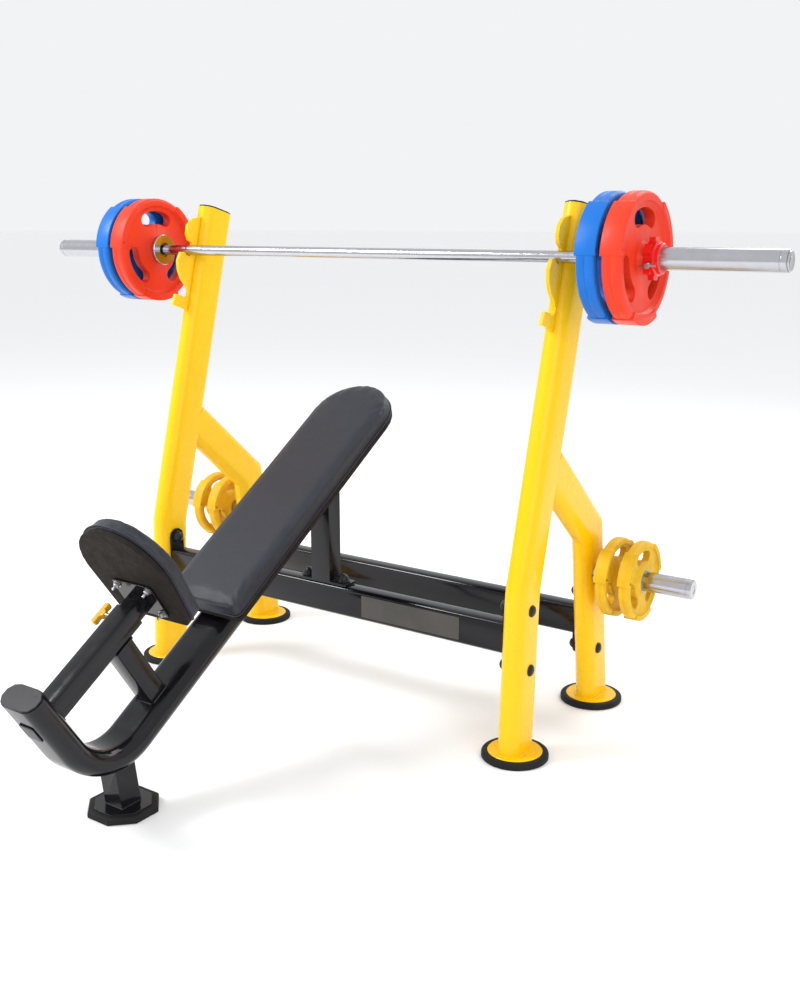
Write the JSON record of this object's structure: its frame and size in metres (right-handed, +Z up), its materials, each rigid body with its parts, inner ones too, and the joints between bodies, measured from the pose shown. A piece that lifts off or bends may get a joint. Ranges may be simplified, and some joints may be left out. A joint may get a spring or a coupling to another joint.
{
  "type": "incline olympic bench press",
  "caption": "Incline bench press station: A-frame uprights with bar hooks, sloped backrest, sliding upright seat, loaded barbell and plate storage horns.",
  "frame": {"origin": "on the floor, at the middle of the footprint", "axes": "+X along the barbell to the right, +Y towards the head end and rear legs, +Z up"},
  "size_m": [2.206, 1.4712, 1.312],
  "materials": {
    "yellow_paint": "glossy powder coat",
    "black_paint": "glossy enamel",
    "chrome": "polished",
    "zinc": "zinc plated",
    "vinyl": "satin upholstery vinyl",
    "board": "black faced plywood",
    "rubber": "matte",
    "black_plastic": "moulded",
    "yellow_plastic": "moulded",
    "red_urethane": "satin coating over iron",
    "blue_urethane": "satin coating over iron",
    "amber_urethane": "worn satin coating over iron",
    "red_plastic": "moulded",
    "bronze": "sintered bushing"
  },
  "bodies": {
    "frame": {"back_board": "board", "back_bracket_high": "black_paint", "back_bracket_low": "black_paint", "back_cushion": "vinyl", "bolt_cap_front_high_left": "black_plastic", "bolt_cap_front_high_right": "black_plastic", "bolt_cap_front_low_left": "black_plastic", "bolt_cap_front_low_right": "black_plastic", "bolt_cap_rear_low_left": "black_plastic", "bolt_cap_rear_low_right": "black_plastic", "front_foot": "rubber", "front_leg": "black_paint", "front_rail": "black_paint", "hook_plate_left": "yellow_paint", "hook_plate_right": "yellow_paint", "main_foot_left": "rubber", "main_foot_right": "rubber", "rear_foot_left": "rubber", "rear_foot_right": "rubber", "rear_leg_left": "yellow_paint", "rear_leg_right": "yellow_paint", "rear_rail": "black_paint", "seat_strut": "black_paint", "seat_tube": "black_paint", "seat_tube_plug": "black_plastic", "spine_beam": "black_paint", "spine_end_plug": "black_plastic", "spine_tip_plug": "black_plastic", "storage_horn_left": "chrome", "storage_horn_right": "chrome", "support_post": "black_paint", "upright_left": "yellow_paint", "upright_plug_left": "black_plastic", "upright_plug_right": "black_plastic", "upright_right": "yellow_paint"},
    "seat": {"seat_post": "black_paint", "seat_plate": "black_paint", "seat_board": "board", "seat_cushion": "vinyl"},
    "seat_lock": {"lock_screw": "zinc", "lock_knob": "yellow_plastic"},
    "bar": {"bar_shaft": "chrome", "sleeve_bushing_left": "bronze", "sleeve_bushing_right": "bronze"},
    "sleeve_unit_left": {"sleeve_left": "chrome", "sleeve_cap_left": "chrome", "plate_inner_left": "red_urethane", "plate_outer_left": "blue_urethane", "collar_left": "red_plastic"},
    "collar_lock_left": {"collar_screw_left": "zinc"},
    "stored_plates_left": {"stored_inner_left": "amber_urethane", "stored_outer_left": "amber_urethane"},
    "sleeve_unit_right": {"sleeve_right": "chrome", "sleeve_cap_right": "chrome", "plate_inner_right": "blue_urethane", "plate_outer_right": "red_urethane", "collar_right": "red_plastic"},
    "collar_lock_right": {"collar_screw_right": "zinc"},
    "stored_plates_right": {"stored_inner_right": "amber_urethane", "stored_outer_right": "amber_urethane"}
  },
  "joints": [
    {"name": "seat_slide", "type": "slide", "parent": "frame", "child": "seat", "axis": [0, 0.8443, 0.5358], "range_m": [0, 0.1]},
    {"name": "seat_lock_turn", "type": "hinge", "parent": "frame", "child": "seat_lock", "pos_m": [-0.04, -0.44132, 0.42528], "axis": [-1, 0, 0], "range_deg": [0, 360]},
    {"name": "bar_lift", "type": "slide", "parent": "frame", "child": "bar", "axis": [0, -0.6, 0.8], "range_m": [0, 0.3]},
    {"name": "sleeve_spin_left", "type": "hinge", "parent": "bar", "child": "sleeve_unit_left", "pos_m": [-0.9, 0.374, 1.17], "axis": [1, 0, 0], "continuous": true},
    {"name": "sleeve_spin_right", "type": "hinge", "parent": "bar", "child": "sleeve_unit_right", "pos_m": [0.9, 0.374, 1.17], "axis": [1, 0, 0], "continuous": true},
    {"name": "collar_lock_turn_left", "type": "hinge", "parent": "sleeve_unit_left", "child": "collar_lock_left", "pos_m": [-0.8175, 0.32549, 1.1579], "axis": [0, -0.9703, -0.2419], "range_deg": [0, 360]},
    {"name": "collar_lock_turn_right", "type": "hinge", "parent": "sleeve_unit_right", "child": "collar_lock_right", "pos_m": [0.8175, 0.32549, 1.1579], "axis": [0, -0.9703, -0.2419], "range_deg": [0, 360]},
    {"name": "stored_plates_slide_left", "type": "slide", "parent": "frame", "child": "stored_plates_left", "axis": [-1, 0, 0], "range_m": [0, 0.22]},
    {"name": "stored_plates_slide_right", "type": "slide", "parent": "frame", "child": "stored_plates_right", "axis": [1, 0, 0], "range_m": [0, 0.22]}
  ]
}
